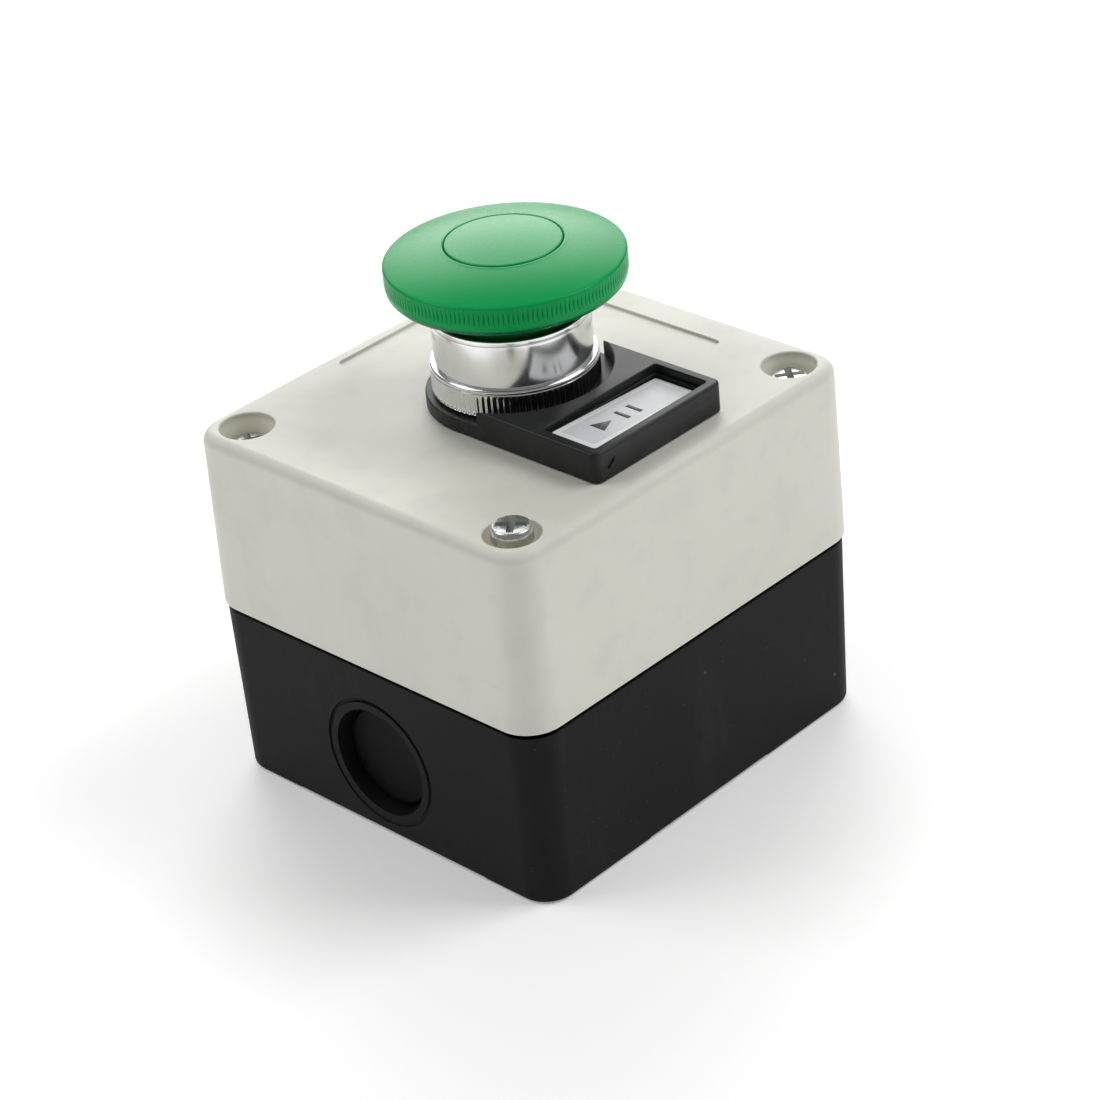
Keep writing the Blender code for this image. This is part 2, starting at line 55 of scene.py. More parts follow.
SCREW_SEAT, POCKET_FLOOR = 60.4, 60.1
HEAD_HOLE_R = 11.25
RECESS_X, RECESS_Y = (-9.2, 33.7), (-15.6, 34.3)
SLOT_X, SLOT_Y = 28.0, 18.0
KNOCKOUT_Z = 14.5
DISC_TOP = 29.2            # heights of the head are above the lid
RIM_TOP, RIM_LOW = 25.7, 22.9
WINDOW = (-13.4, 13.5, -30.0, -18.8)
CARD_TILT = 2.6            # the card sits a little askew in its window


# ------------------------------------------------------------ shader sums

class Value:
    """A node's output that can be used in ordinary sums."""

    def __init__(self, finish, link):
        self.finish = finish
        self.link = link

    def math(self, operation, *values):
        return self.finish.node("ShaderNodeMath", {"operation": operation}, values)

    def __add__(self, other):
        return self.math("ADD", self, other)

    def __radd__(self, other):
        return self.math("ADD", other, self)

    def __sub__(self, other):
        return self.math("SUBTRACT", self, other)

    def __rsub__(self, other):
        return self.math("SUBTRACT", other, self)

    def __mul__(self, other):
        return self.math("MULTIPLY", self, other)

    def __rmul__(self, other):
        return self.math("MULTIPLY", other, self)

    def __pow__(self, other):
        return self.math("POWER", self, other)

    def over(self, low, high):
        """0 below low, 1 above high, with a soft step between."""
        return self.finish.node("ShaderNodeMapRange",
                                {"interpolation_type": "SMOOTHSTEP"},
                                {"Value": self, "From Min": low, "From Max": high})


class Tree:
    """A node tree whose nodes are made and joined by one method."""

    def __init__(self, tree, place):
        self.tree = tree
        self.place = self.node("ShaderNodeTexCoord", out=place)

    def node(self, kind, settings=None, inputs=None, out=0):
        made = self.tree.nodes.new(kind)
        for key, value in (settings or {}).items():
            setattr(made, key, value)
        if inputs is not None and not isinstance(inputs, dict):
            inputs = dict(enumerate(inputs))
        for key, value in (inputs or {}).items():
            if isinstance(value, Value):
                self.tree.links.new(value.link, made.inputs[key])
            else:
                made.inputs[key].default_value = value
        return Value(self, made.outputs[out])

    def part(self, axis):
        """X, Y or Z of the place, in metres on a piece."""
        return self.node("ShaderNodeSeparateXYZ", {}, {0: self.place}, axis)

    def mix(self, share, one, two):
        """Colour one where share is 0, colour two where it is 1."""
        return self.node("ShaderNodeMix", {"data_type": "RGBA"},
                         {0: share, 6: one, 7: two}, 2)


class Finish(Tree):
    """A material: its shader, and the nodes that vary it over the surface."""

    def __init__(self, name, **constants):
        self.material = bpy.data.materials.new(name)
        self.material.use_nodes = True
        super().__init__(self.material.node_tree, "Object")
        self.shader = self.tree.nodes["Principled BSDF"]
        for socket, value in constants.items():
            self.shader.inputs[socket.replace("_", " ")].default_value = value

    def noise(self, scale, detail=2.0, rough=0.5, place=None):
        """Soft noise whose features are about 1 / scale metres across."""
        return self.node("ShaderNodeTexNoise", {"noise_dimensions": "3D"},
                         {"Vector": place or self.place, "Scale": scale,
                          "Detail": detail, "Roughness": rough})

    def stretched(self, x, y, z):
        """The place on the piece with each axis scaled."""
        return self.node("ShaderNodeVectorMath", {"operation": "MULTIPLY"},
                         {0: self.place, 1: (x, y, z)})

    def specks(self, scale, size, share):
        """Scattered round dots: 1 in a dot, for that share of the cells."""
        cell = {"Vector": self.place, "Scale": scale}
        near = self.node("ShaderNodeTexVoronoi", {}, cell, "Distance")
        tint = self.node("ShaderNodeTexVoronoi", {}, cell, "Color")
        pick = self.node("ShaderNodeSeparateColor", {}, {0: tint}, "Red")
        return (1 - near.over(size * 0.6, size)) * (1 - pick.over(share, share + 0.01))

    def feed(self, socket, value):
        self.tree.links.new(value.link, self.shader.inputs[socket])

    def colour(self, value):
        self.feed("Base Color", value)

    def rough(self, value):
        self.feed("Roughness", value)

    def relief(self, *layers):
        """Bumps, each a height pattern and its depth in metres."""
        normal = None
        for pattern, depth in layers:
            inputs = {"Height": pattern, "Distance": depth, "Strength": 1.0}
            if normal is not None:
                inputs["Normal"] = normal
            normal = self.node("ShaderNodeBump", {}, inputs)
        self.tree.links.new(normal.link, self.shader.inputs["Normal"])


def rgb(r, g, b):
    return (r, g, b, 1.0)


# --------------------------------------------------------------- finishes

def grey_abs():
    # the lid's emission is painted light, lit only on the walls of the screw pockets
    f = Finish("lid_grey_abs", IOR=1.49, Emission_Strength=1.0)
    cloud = f.noise(28.0, 3.0, 0.55)
    haze = f.noise(160.0, 2.0, 0.5)
    grain = f.noise(5200.0, 2.0, 0.6)
    pits = f.noise(1900.0, 2.0, 0.5)
    base = f.mix(cloud.over(0.35, 0.7), rgb(0.745, 0.737, 0.662), rgb(0.722, 0.713, 0.636))
    base = f.mix(haze.over(0.45, 0.75) * 0.35, base, rgb(0.640, 0.628, 0.580))
    dirt = f.specks(95.0, 0.055, 0.10)
    base = f.mix(dirt * 0.75, base, rgb(0.055, 0.048, 0.040))
    scuff = f.noise(420.0, 4.0, 0.7, f.stretched(1.0, 0.18, 1.0)).over(0.66, 0.74)
    base = f.mix(scuff * 0.10, base, rgb(0.45, 0.43, 0.38))
    # painted light: the walls of the screw pockets glow faintly warm by emission, to lighten
    # their shade
    along = (f.part("X") ** 2) ** 0.5 - SCREW_X * MM
    across = (f.part("Y") ** 2) ** 0.5 - SCREW_Y * MM
    pocket = 1 - ((along ** 2 + across ** 2) ** 0.5).over(0.0049, 0.0051)
    pocket = pocket * (1 - f.part("Z").over((LID_Z - 1.6) * MM, (LID_Z - 0.4) * MM))
    f.feed("Emission Color", f.mix(pocket, rgb(0, 0, 0), rgb(0.085, 0.079, 0.062)))
    f.colour(base)
    f.rough(0.44 + haze * 0.10 + grain * 0.06 - scuff * 0.06)
    f.relief((pits, 0.000012), (grain, 0.000012))
    return f


def black_abs():
    f = Finish("base_black_abs", IOR=1.49, Specular_IOR_Level=0.13)
    cloud = f.noise(45.0, 3.0, 0.55)
    grain = f.noise(4600.0, 2.0, 0.6)
    pits = f.noise(1500.0, 2.0, 0.5)
    dust = f.specks(240.0, 0.10, 0.16)
    fine_dust = f.specks(700.0, 0.13, 0.20)
    base = f.mix(cloud.over(0.3, 0.7), rgb(0.0062, 0.0062, 0.0064),
                 rgb(0.0092, 0.0092, 0.0094))
    base = f.mix(dust * 0.30 + fine_dust * 0.10, base, rgb(0.20, 0.20, 0.20))
    rub = f.noise(90.0, 4.0, 0.65, f.stretched(1.0, 1.0, 0.35)).over(0.55, 0.8)
    base = f.mix(rub * 0.25, base, rgb(0.030, 0.030, 0.031))
    # painted shade: the knockout recess is darkened towards black
    out = (f.part("Y") ** 2 + (f.part("Z") - KNOCKOUT_Z * MM) ** 2) ** 0.5
    shaded_recess = 1 - out.over(0.0092, 0.0100)
    base = f.mix(shaded_recess * 0.75, base, rgb(0.0010, 0.0010, 0.0010))
    # painted shadow: a band of the base just under the lid is darkened, where the gap's shade
    # falls
    seam_shadow = f.part("Z").over((SPLIT_Z - 0.95) * MM, (SPLIT_Z - 0.75) * MM)
    base = f.mix(seam_shadow * 0.95, base, rgb(0.0003, 0.0003, 0.0003))
    # a metallic black has little sheen, so the painted shade in the recess and the painted
    # shadow at the seam stay dark
    f.feed("Metallic", shaded_recess * 0.35 + seam_shadow * 0.95)
    f.colour(base)
    f.rough(0.46 + cloud * 0.10 + grain * 0.08 - rub * 0.05)
    f.relief((pits, 0.000018), (grain, 0.000014))
    return f


def green_cap():
    f = Finish("cap_green", IOR=1.50, Specular_IOR_Level=0.06,
               Coat_Roughness=0.20, Coat_IOR=1.45)
    cloud = f.noise(60.0, 2.0, 0.5)
    peel = f.noise(380.0, 2.0, 0.5)
    grain = f.noise(4800.0, 2.0, 0.6)
    base = f.mix(cloud.over(0.3, 0.7), rgb(0.0004, 0.360, 0.088), rgb(0.0006, 0.335, 0.080))
    scuff = f.noise(700.0, 4.0, 0.7, f.stretched(0.2, 1.0, 1.0)).over(0.63, 0.72)
    base = f.mix(scuff * 0.10, base, rgb(0.05, 0.44, 0.17))
    # painted shade: the neck under the cap's rim is darkened
    neck_shade = 1 - f.part("Z").over((LID_Z + 21.3) * MM, (LID_Z + 22.1) * MM)
    base = f.mix(neck_shade * 0.75, base, rgb(0.0004, 0.040, 0.014))
    f.colour(base)
    # a little more gloss on the crown than at the edge
    crown = f.part("Z").over((LID_Z + 25.6) * MM, (LID_Z + 28.2) * MM)
    f.feed("Coat Weight", crown * 0.22 + 0.16)
    f.rough(0.23 + peel * 0.05 + scuff * 0.12 + grain * 0.04)
    f.relief((peel, 0.000010), (grain, 0.000006))
    return f


def bright_chrome():
    f = Finish("bezel_chrome", Metallic=1.0)
    smear = f.noise(240.0, 3.0, 0.6)
    turning = f.noise(90.0, 3.0, 0.6, f.stretched(1.0, 1.0, 160.0))
    base = f.mix(smear.over(0.4, 0.75), rgb(0.86, 0.865, 0.87), rgb(0.78, 0.775, 0.76))
    f.colour(base)
    f.rough(0.13 + smear.over(0.45, 0.8) * 0.08 + turning * 0.04)
    f.relief((turning, 0.0000012))
    return f


def zinc_plate(name="screw_zinc"):
    f = Finish(name, Metallic=1.0)
    tarnish = f.noise(900.0, 3.0, 0.6)
    spots = f.noise(2600.0, 3.0, 0.6)
    turning = f.noise(1500.0, 2.0, 0.5)
    base = f.mix(tarnish.over(0.35, 0.7), rgb(0.66, 0.67, 0.66), rgb(0.50, 0.50, 0.46))
    base = f.mix(spots.over(0.62, 0.75) * 0.5, base, rgb(0.22, 0.20, 0.16))
    f.colour(base)
    f.rough(0.20 + tarnish * 0.18 + spots.over(0.6, 0.8) * 0.25)
    f.relief((turning, 0.000012), (spots, 0.000008))
    return f


def screw_slot_shade():
    """Dull dark metal down in the driver recesses, darkened as painted shade."""
    f = Finish("screw_recess", Metallic=0.2)
    blot = f.noise(1800.0, 3.0, 0.6)
    f.colour(f.mix(blot.over(0.3, 0.7), rgb(0.020, 0.020, 0.018), rgb(0.055, 0.053, 0.046)))
    f.rough(0.45 + blot * 0.2)
    f.relief((blot, 0.000010))
    return f


def holder_plastic():
    f = Finish("holder_black", IOR=1.50, Specular_IOR_Level=0.26)
    cloud = f.noise(120.0, 3.0, 0.6)
    grain = f.noise(5000.0, 2.0, 0.6)
    streak = f.noise(260.0, 4.0, 0.65, f.stretched(0.25, 1.6, 1.0))
    base = f.mix(cloud.over(0.35, 0.7), rgb(0.0125, 0.0131, 0.0134),
                 rgb(0.0180, 0.0188, 0.0192))
    base = f.mix(streak.over(0.52, 0.78) * 0.45, base, rgb(0.052, 0.055, 0.058))
    f.colour(base)
    f.rough(0.30 + streak * 0.16 + grain * 0.05)
    f.relief((cloud, 0.000010), (grain, 0.000008))
    return f


def legend_face():
    f = Finish("legend_print", IOR=1.5)
    x0, x1, y0, y1 = (v * MM for v in WINDOW)
    where = f.part("X")
    across = f.part("Y")
    field = where.over(x0 + 0.0018, x0 + 0.0022)
    field = field * (1 - where.over(x1 - 0.0022, x1 - 0.0018))
    field = field * across.over(y0 + 0.0019, y0 + 0.0022)
    field = field * (1 - across.over(y1 - 0.0021, y1 - 0.0018))
    fibre = f.noise(1400.0, 3.0, 0.6, f.stretched(0.3, 1.0, 1.0))
    blot = f.noise(330.0, 2.0, 0.5)
    paper = f.mix(blot.over(0.35, 0.7), rgb(0.88, 0.88, 0.87), rgb(0.84, 0.84, 0.835))
    tint = f.mix(blot.over(0.35, 0.65), rgb(0.700, 0.690, 0.735), rgb(0.655, 0.655, 0.680))
    base = f.mix(field, paper, tint)
    base = f.mix(fibre.over(0.55, 0.8) * 0.25, base, rgb(0.50, 0.50, 0.50))
    f.colour(base)
    f.rough(0.36 + fibre * 0.12)
    f.relief((fibre, 0.000006))
    return f


def legend_ink():
    f = Finish("legend_ink", IOR=1.5)
    wear = f.noise(2400.0, 3.0, 0.6)
    base = f.mix(wear.over(0.4, 0.75), rgb(0.075, 0.090, 0.085), rgb(0.24, 0.26, 0.25))
    f.colour(base)
    f.rough(0.42 + wear * 0.15)
    f.relief((wear, 0.000006))
    return f


def plain_moulding(name, dark, light, rough):
    f = Finish(name, IOR=1.5)
    cloud = f.noise(150.0, 3.0, 0.6)
    grain = f.noise(4200.0, 2.0, 0.6)
    f.colour(f.mix(cloud.over(0.3, 0.7), rgb(*dark), rgb(*light)))
    f.rough(rough + cloud * 0.08 + grain * 0.06)
    f.relief((grain, 0.000012))
    return f


def worn_metal(name, clean, dull, rough):
    f = Finish(name, Metallic=1.0)
    tarnish = f.noise(600.0, 3.0, 0.6)
    drawn = f.noise(500.0, 2.0, 0.5, f.stretched(1.0, 1.0, 14.0))
    f.colour(f.mix(tarnish.over(0.35, 0.75), rgb(*clean), rgb(*dull)))
    f.rough(rough + tarnish * 0.16)
    f.relief((drawn, 0.000004))
    return f


def studio_floor():
    f = Finish("studio_floor", Emission_Color=rgb(1, 1, 1), Emission_Strength=0.22)
    cloud = f.noise(3.0, 2.0, 0.5)
    f.colour(f.mix(cloud, rgb(0.93, 0.93, 0.93), rgb(0.95, 0.95, 0.95)))
    f.rough(0.62 + cloud * 0.04)
    return f


# ---------------------------------------------------------- mesh building

def add_piece(name, mesh, finish, body, nodes=(), second=None):
    obj = bpy.data.objects.new(name, mesh)
    bpy.context.scene.collection.objects.link(obj)
    mesh.materials.clear()
    mesh.materials.append(finish.material)
    if second:
        mesh.materials.append(second.material)
    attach(obj, body)
    if nodes:
        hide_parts(*nodes)
    return obj


def as_mesh(name, bm):
    bmesh.ops.recalc_face_normals(bm, faces=bm.faces)
    bmesh.ops.scale(bm, vec=(MM, MM, MM), verts=bm.verts)
    mesh = bpy.data.meshes.new(name)
    bm.to_mesh(mesh)
    bm.free()
    mesh.shade_smooth()
    return mesh


def rounded(points, steps=4):
    """A path of (across, up, radius) corners with each corner rounded."""
    path = []
    count = len(points)
    for i, (x, y, radius) in enumerate(points):
        here = Vector((x, y))
        if radius <= 0 or i in (0, count - 1):
            path.append((x, y))
            continue
        back = Vector(points[i - 1][:2]) - here
        on = Vector(points[i + 1][:2]) - here
        half = back.angle(on) / 2
        reach = min(radius / math.tan(half), back.length * 0.49, on.length * 0.49)
        start = here + back.normalized() * reach
        end = here + on.normalized() * reach
        for s in range(steps + 1):
            t = s / steps
            point = start * (1 - t) ** 2 + here * 2 * t * (1 - t) + end * t ** 2
            path.append((point.x, point.y))
    return path


def split_long(path, longest):
    """The path with points added so that no step is longer than that."""
    out = [path[0]]
    for a, b in zip(path, path[1:]):
        parts = max(1, math.ceil(math.dist(a, b) / longest))
        for k in range(1, parts + 1):
            t = k / parts
            out.append((a[0] + (b[0] - a[0]) * t, a[1] + (b[1] - a[1]) * t))
    return out


def turned(name, path, steps, ring=False, shape=None):
    """Solid of revolution about Z from (radius, height) points; shape gives
    a radius from radius, height and angle, for ribs."""
    bm = bmesh.new()
    rows = []
    for r, z in path:
        if r < 1e-6:
            rows.append([bm.verts.new((0, 0, z))])
            continue
        row = []
        for k in range(steps):
            a = 2 * math.pi * k / steps
            rr = shape(r, z, a) if shape else r
            row.append(bm.verts.new((rr * math.cos(a), rr * math.sin(a), z)))
        rows.append(row)
    pairs = list(zip(rows, rows[1:]))
    if ring:
        pairs.append((rows[-1], rows[0]))
    for one, two in pairs:
        for k in range(steps):
            n = (k + 1) % steps
            if len(one) == 1 and len(two) == 1:
                break
            if len(one) == 1:
                bm.faces.new((one[0], two[k], two[n]))
            elif len(two) == 1:
                bm.faces.new((one[k], two[0], one[n]))
            else:
                bm.faces.new((one[k], two[k], two[n], one[n]))
    return as_mesh(name, bm)


def outline(x, y, radius, z, steps=14):
    """Rounded rectangle between pairs of limits, at height z."""
    radius = max(radius, 0.05)
    loop = []
    for cx, cy, turn in ((x[1] - radius, y[1] - radius, 0),
                         (x[0] + radius, y[1] - radius, 90),
                         (x[0] + radius, y[0] + radius, 180),
                         (x[1] - radius, y[0] + radius, 270)):
        for s in range(steps + 1):
            a = math.radians(turn + 90 * s / steps)
            loop.append((cx + radius * math.cos(a), cy + radius * math.sin(a), z))
    return loop


def lofted(name, loops):
    """Closed skin through stacked loops of the same length."""
    bm = bmesh.new()
    rows = [[bm.verts.new(p) for p in loop] for loop in loops]
    count = len(rows[0])
    for one, two in zip(rows, rows[1:]):
        for k in range(count):
            n = (k + 1) % count
            bm.faces.new((one[k], one[n], two[n], two[k]))
    bm.faces.new(rows[0])
    bm.faces.new(rows[-1])
    return as_mesh(name, bm)


def soft_block(name, x, y, z, radius, top, low=0.0, steps=6):
    """Block with round upright corners and rounded top and lower edges."""
    loops = []
    for s in range(steps + 1 if low else 1):
        a = math.pi / 2 * s / steps
        inset = low * (1 - math.sin(a))
        loops.append(outline((x[0] + inset, x[1] - inset), (y[0] + inset, y[1] - inset),
                             radius - inset, z[0] + low * (1 - math.cos(a)), steps))
    for s in range(steps + 1 if top else 1):
        a = math.pi / 2 * s / steps
        inset = top * (1 - math.cos(a))
        loops.append(outline((x[0] + inset, x[1] - inset), (y[0] + inset, y[1] - inset),
                             radius - inset, z[1] - top * (1 - math.sin(a)), steps))
    return lofted(name, loops)


def drum(radius, low, high, at=(0.0, 0.0), along="Z", sides=64):
    """Round bar, used to cut and to join."""
    mesh = turned("drum", [(0.0, low), (radius, low), (radius, high), (0.0, high)], sides)
    turn = {"Z": Matrix.Identity(4),
            "X": Matrix.Rotation(math.pi / 2, 4, "Y"),
            "Y": Matrix.Rotation(-math.pi / 2, 4, "X")}[along]
    shift = {"Z": (at[0], at[1], 0), "X": (0, at[0], at[1]),
             "Y": (at[0], 0, at[1])}[along]
    mesh.transform(Matrix.Translation(Vector(shift) * MM) @ turn)
    return mesh


def brick(x, y, z, radius=0.05):
    return lofted("brick", [outline(x, y, radius, z[0], 2), outline(x, y, radius, z[1], 2)])


def shaped(mesh, *tools):
    """The mesh after each tool, a (operation, mesh) pair, has worked on it."""
    scene = bpy.context.scene.collection
    work = bpy.data.objects.new("work", mesh)
    scene.objects.link(work)
    helpers = []
    for operation, tool in tools:
        helper = bpy.data.objects.new("tool", tool)
        scene.objects.link(helper)
        helpers.append(helper)
        step = work.modifiers.new(operation, "BOOLEAN")
        step.operation = operation
        step.solver = "EXACT"
        step.object = helper
    bpy.context.view_layer.update()
    graph = bpy.context.evaluated_depsgraph_get()
    result = bpy.data.meshes.new_from_object(work.evaluated_get(graph))
    for obj in [work] + helpers:
        bpy.data.objects.remove(obj)
    return result


def keep_flats(obj):
    """Shade the flats flat right up to the roundings beside them."""
    flat = obj.modifiers.new("flat", "WEIGHTED_NORMAL")
    flat.mode = "FACE_AREA"
    flat.weight = 60
    flat.keep_sharp = True


def rim_curve(rim, flare, steps=5):
    """How far out a pocket's wall has curved at each height near its rim."""
    for s in range(steps + 1):
        a = math.radians(80.0 * s / steps)
        yield flare * (1 - math.cos(a)), rim - flare + flare * math.sin(a)


def round_pocket(radius, floor, rim, flare, at=(0.0, 0.0), sides=96):
    """Cutter for a round hole down to a floor, with a rounded rim."""
    curve = [(radius + out, z) for out, z in rim_curve(rim, flare)]
    path = [(0.0, floor), (radius, floor)] + curve
    path += [(curve[-1][0], rim + 20.0), (0.0, rim + 20.0)]
    mesh = turned("pocket", path, sides)
    mesh.transform(Matrix.Translation((at[0] * MM, at[1] * MM, 0)))
    return mesh


def square_pocket(x, y, radius, floor, rim, flare):
    """Cutter for a rounded rectangle down to a floor, with a rounded rim."""
    levels = [(0.0, floor)] + list(rim_curve(rim, flare))
    levels.append((levels[-1][0], rim + 20.0))
    return lofted("pocket", [outline((x[0] - out, x[1] + out), (y[0] - out, y[1] + out),
                                     radius + out, z, 6) for out, z in levels])


def half_box(inset):
    w = BOX_W / 2 - inset
    d = BOX_D / 2 - inset
    return (-w, w), (-d, d)


def box_loop(inset, z, shrink=0.0):
    x, y = half_box(inset)
    return outline(x, y, CORNER_R - inset - shrink, z)


def screw_places():
    for sx in (-1, 1):
        for sy in (-1, 1):
            yield sx, sy, sx * SCREW_X, sy * SCREW_Y


# ----------------------------------------------------------------- pieces

def lid(finish):
    loops = [box_loop(2.6, LID_Z - 2.6), box_loop(2.6, SPLIT_Z + 3.6),
             box_loop(1.3, SPLIT_Z + 3.6), box_loop(1.3, SPLIT_Z + 0.1),
             box_loop(1.2, SPLIT_Z)]
    for s in range(5):
        a = math.pi / 2 * s / 4
        loops.append(box_loop(0.4 * (1 - math.sin(a)), SPLIT_Z + 0.4 * (1 - math.cos(a))))
    edge = 2.0
    for s in range(11):
        a = math.pi / 2 * s / 10
        loops.append(box_loop(0.5 + edge * (1 - math.cos(a)),
                              LID_Z - edge * (1 - math.sin(a))))
    tools = []
    for *_, cx, cy in screw_places():
        tools.append(("UNION", drum(5.9, 37.0, 64.5, (cx, cy))))
        tools.append(("UNION", drum(4.1, 32.0, 38.0, (cx, cy), sides=40)))
    for *_, cx, cy in screw_places():
        tools.append(("DIFFERENCE", round_pocket(4.65, POCKET_FLOOR, LID_Z, 0.3, (cx, cy))))
        tools.append(("DIFFERENCE", drum(2.1, 20.0, 62.5, (cx, cy), sides=40)))
    tools.append(("DIFFERENCE", drum(HEAD_HOLE_R, 50.0, 80.0, sides=128)))
    recess = lofted("recess", [outline(RECESS_X, RECESS_Y, 1.2, LID_Z - 0.5, 6),
                               outline(RECESS_X, RECESS_Y, 1.2, 80.0, 6)])
    recess = shaped(recess, ("DIFFERENCE", drum(14.6, 50.0, 90.0, sides=96)),
                    ("DIFFERENCE", brick((-14.6, 14.6), (-31.0, 0.0), (50.0, 90.0))),
                    ("DIFFERENCE", drum(6.4, 50.0, 90.0, (SCREW_X, SCREW_Y))))
    tools.append(("DIFFERENCE", recess))
    mesh = shaped(lofted("lid", loops), *tools)
    mesh.set_sharp_from_angle(angle=math.radians(38))
    obj = add_piece("lid", mesh, finish, "station", ["lid_shell"])
    keep_flats(obj)


def knockout_tools(side):
    """Blind round recess and the ring groove about it, on one side."""
    face = BOX_W / 2 - 0.6
    recess = turned("knockout", rounded([
        (0.0, face - 2.6, 0), (6.5, face - 2.55, 3.0), (8.9, face - 2.5, 1.3),
        (9.3, face - 3.2, 0.2), (9.6, face - 3.2, 0.1), (10.0, face - 0.1, 0.3),
        (10.4, face + 2.0, 0),
        (0.0, face + 2.0, 0)]), 96)
    groove = turned("knockout_groove", rounded([
        (11.3, face + 2.0, 0), (11.4, face - 0.5, 0.15), (12.1, face - 0.5, 0.15),
        (12.3, face + 2.0, 0)]), 96, ring=True)
    place = (Matrix.Translation((0, 0, KNOCKOUT_Z * MM))
             @ Matrix.Rotation(side * math.pi / 2, 4, "Y"))
    for mesh in (recess, groove):
        mesh.transform(place)
    return [("DIFFERENCE", recess), ("DIFFERENCE", groove)]


def fixing_slot(side, margin, z):
    """Round-ended bar over a fixing slot, wider all round by margin."""
    half_x, half_y = 4.8 + margin, 2.3 + margin
    return lofted("slot", [outline((side * SLOT_X - half_x, side * SLOT_X + half_x),
                                   (side * SLOT_Y - half_y, side * SLOT_Y + half_y),
                                   half_y - 0.01, level) for level in z])


def base(finish):
    top = SPLIT_Z - 0.3
    loops = [box_loop(3.0, 3.2), box_loop(3.0, SPLIT_Z + 1.8), box_loop(2.8, SPLIT_Z + 2.0),
             box_loop(1.9, SPLIT_Z + 2.0), box_loop(1.7, SPLIT_Z + 1.8),
             box_loop(1.7, top), box_loop(1.05, top)]
    for s in range(4):
        a = math.pi / 2 * s / 3
        loops.append(box_loop(0.45 + 0.55 * (1 - math.sin(a)), top - 0.7 * (1 - math.cos(a))))
    for s in range(9):
        a = math.pi / 2 * s / 8
        loops.append(box_loop(0.9 + 1.0 * (1 - math.cos(a)), 1.0 * (1 - math.sin(a))))
    tools = []
    for *_, cx, cy in screw_places():
        tools.append(("UNION", drum(5.2, 2.0, 31.5, (cx, cy), sides=48)))
    for side in (-1, 1):
        low, high = sorted((side * 36.0, side * 39.2))
        tools.append(("UNION", drum(12.8, low, high, (0.0, KNOCKOUT_Z), "X")))
        tools.append(("UNION", fixing_slot(side, 2.1, (2.0, 4.8))))
    for *_, cx, cy in screw_places():
        tools.append(("DIFFERENCE", drum(1.9, 12.0, 40.0, (cx, cy), sides=32)))
    for side in (-1, 1):
        tools += knockout_tools(side)
        tools.append(("DIFFERENCE", fixing_slot(side, 0.0, (-5.0, 10.0))))
    tools.append(("DIFFERENCE", brick((-15.4, 15.4), (-60, 60), (-5, 0.7))))
    tools.append(("DIFFERENCE", brick((-60, 60), (-22.4, 22.4), (-5, 0.7))))
    mesh = shaped(lofted("base", loops), *tools)
    mesh.set_sharp_from_angle(angle=math.radians(38))
    obj = add_piece("base", mesh, finish, "station", ["base_shell"])
    keep_flats(obj)


def cross_wing(top, depth, reach, width, turned_over):
    """One of the two crossed wedges that a cross driver leaves."""
    loops = []
    for z, r, w in ((top - depth, reach * 0.4, width * 0.55), (top, reach, width),
                    (top + 1.0, reach * 1.3, width * 1.2)):
        a, b = (r, w / 2) if turned_over else (w / 2, r)
        loops.append([(a, b, z), (-a, b, z), (-a, -b, z), (a, -b, z)])
    return lofted("wing", loops)


def pan_screw(name, node, cx, cy, seat, turn, finish, slot_shade_finish):
    """Pan head with a cross recess, and its threaded shank."""
    pitch = 1.25

    def thread(r, z, a):
        if r > 1.6 or z > seat - 3.0:
            return r
        wave = math.sin(2 * math.pi * (z / pitch - a / (2 * math.pi)))
        return r - 0.16 + 0.16 * wave if r > 1.0 else r

    head = rounded([(0.0, seat + 2.6, 0), (1.9, seat + 2.58, 1.0), (3.1, seat + 2.4, 0.5),
                    (3.45, seat + 1.6, 0.5), (3.45, seat, 0.15), (1.5, seat, 0)], 5)
    shank = split_long([(1.5, seat - 3.0), (1.5, seat - 40.5)], 0.32)
    mesh = turned(name, head + shank + [(0.0, seat - 42.0)], 48, shape=thread)
    mesh = shaped(mesh, *[("DIFFERENCE", cross_wing(seat + 2.6, 1.9, 2.6, 1.2, over))
                          for over in (False, True)])
    # faces inside the cross recess take the second finish, the painted shade
    for face in mesh.polygons:
        reach = face.center.xy.length
        shaded_recess = seat + 0.5 < face.center.z / MM < seat + 2.5 and reach < 2.8 * MM
        outward = face.normal.xy.dot(face.center.xy) > 0.3 * reach
        face.material_index = int(shaded_recess and not outward)
    mesh.transform(Matrix.Rotation(math.radians(turn), 4, "Z"))
    mesh.transform(Matrix.Translation((cx * MM, cy * MM, 0)))
    mesh.set_sharp_from_angle(angle=math.radians(38))
    add_piece(name, mesh, finish, "station", [node], slot_shade_finish)


def lid_screws(finish, slot_shade_finish):
    names = {(-1, -1): ("front_left", SCREW_SEAT + 4.6, 38),
             (1, -1): ("front_right", SCREW_SEAT + 1.2, 50),
             (-1, 1): ("back_left", SCREW_SEAT + 0.4, 64),
             (1, 1): ("back_right", SCREW_SEAT, 25)}
    for sx, sy, cx, cy in screw_places():
        side, seat, turn = names[sx, sy]
        pan_screw("screw_" + side, "lid_screw_" + side, cx, cy, seat, turn, finish, slot_shade_finish)


def dome(radius):
    """Height of the cap's face above the lid at a radius."""
    return DISC_TOP - (DISC_TOP - RIM_TOP - 0.3) * (radius / 19.6) ** 2


def rib_wave(angle, count):
    """Flat-topped rib with a narrow valley, 0 on the crest and 1 in it."""
    t = abs(math.sin(angle * count / 2))
    return max(0.0, 1.0 - t * 1.7)


def above_lid(points):
    return [(r, z + LID_Z) for r, z in points]


